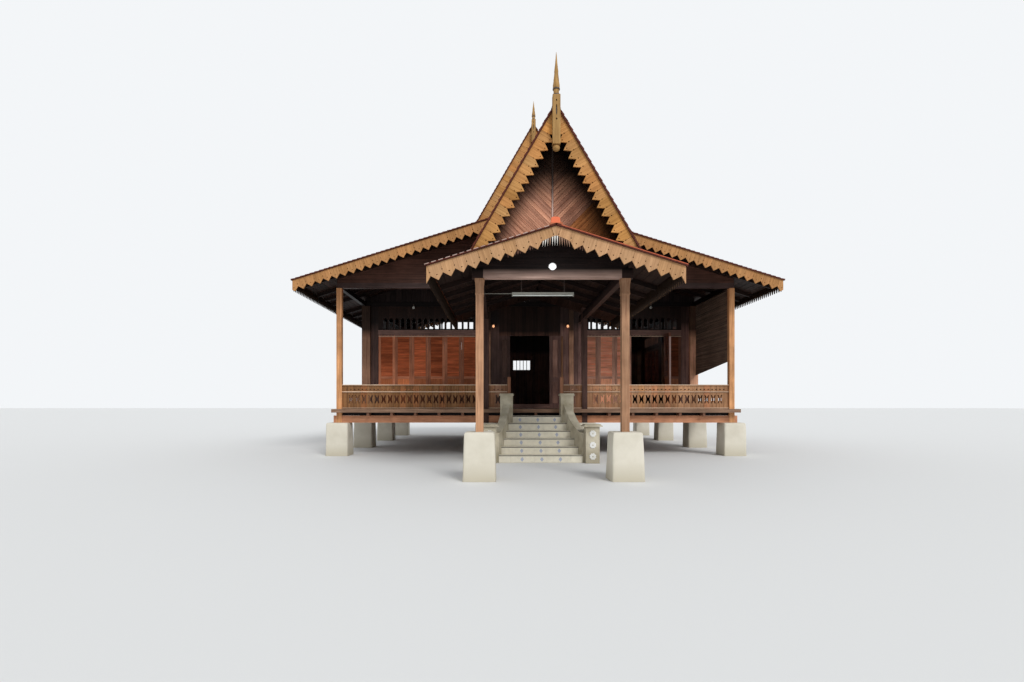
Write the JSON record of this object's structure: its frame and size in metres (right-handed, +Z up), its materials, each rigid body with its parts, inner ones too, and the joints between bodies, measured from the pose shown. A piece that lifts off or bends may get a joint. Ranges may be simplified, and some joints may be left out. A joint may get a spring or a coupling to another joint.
{
  "type": "stilt house",
  "caption": "Timber stilt house on masonry piers, with a railed veranda, a gabled porch over a flared stair, and steep and low tiled roofs edged with saw-tooth boards.",
  "frame": {"origin": "on the ground under the middle of the house's outline", "axes": "+Z up, +Y from the porch towards the back wall, +X to the right as seen from the porch"},
  "size_m": [13.46, 17.3248, 10.7677],
  "materials": {
    "pier_plaster": "painted plaster, chalky and dirt-splashed at the foot",
    "stair_tile": "glazed tile with dark nosings",
    "stucco": "raw grey stucco, stained",
    "frame_timber": "oiled hardwood, weathered",
    "post_timber": "weathered hardwood, sun-bleached",
    "floor_timber": "worn planks",
    "dark_boards": "dark oiled boards",
    "shutter_wood": "varnished red-brown hardwood",
    "carved_wood": "golden weathered hardwood, cut and drilled",
    "gable_wood": "diagonal boards, oiled",
    "roof_tile": "thin unglazed clay tile, weathered",
    "blind": "woven split bamboo, dark"
  },
  "bodies": {
    "root": {"porch_piers": "pier_plaster", "house_piers": "pier_plaster", "stair_flight": "stair_tile", "stair_flank_left": "stucco", "stair_flank_right": "stucco", "floor_bearers": "frame_timber", "floor_joists": "frame_timber", "veranda_deck": "floor_timber", "house_floor": "floor_timber", "porch_posts": "post_timber", "veranda_posts": "post_timber", "wall_posts": "frame_timber", "porch_beams": "frame_timber", "wall_plates": "frame_timber", "railing_front_left": "carved_wood", "railing_front_right": "carved_wood", "railing_stair": "carved_wood", "railing_sides": "carved_wood", "front_boards": "dark_boards", "front_clerestory": "dark_boards", "window_sills": "frame_timber", "window_heads": "frame_timber", "door_frame": "frame_timber", "side_wall_left": "dark_boards", "side_wall_right": "dark_boards", "back_wall": "dark_boards", "front_shutters_left": "shutter_wood", "front_shutters_right": "shutter_wood", "side_shutters": "shutter_wood", "back_shutters": "shutter_wood", "side_screen": "blind", "porch_tympanum": "dark_boards", "porch_gable_wall": "gable_wood", "main_low_gables": "dark_boards", "main_steep_gables": "gable_wood", "porch_low_roof": "roof_tile", "porch_steep_roof": "roof_tile", "main_low_roof": "roof_tile", "main_steep_roof": "roof_tile", "ridge_tiles": "roof_tile", "porch_bargeboards": "carved_wood", "main_low_bargeboards": "carved_wood", "main_steep_bargeboards": "carved_wood", "eave_boards": "carved_wood", "finials": "carved_wood"}
  },
  "joints": []
}
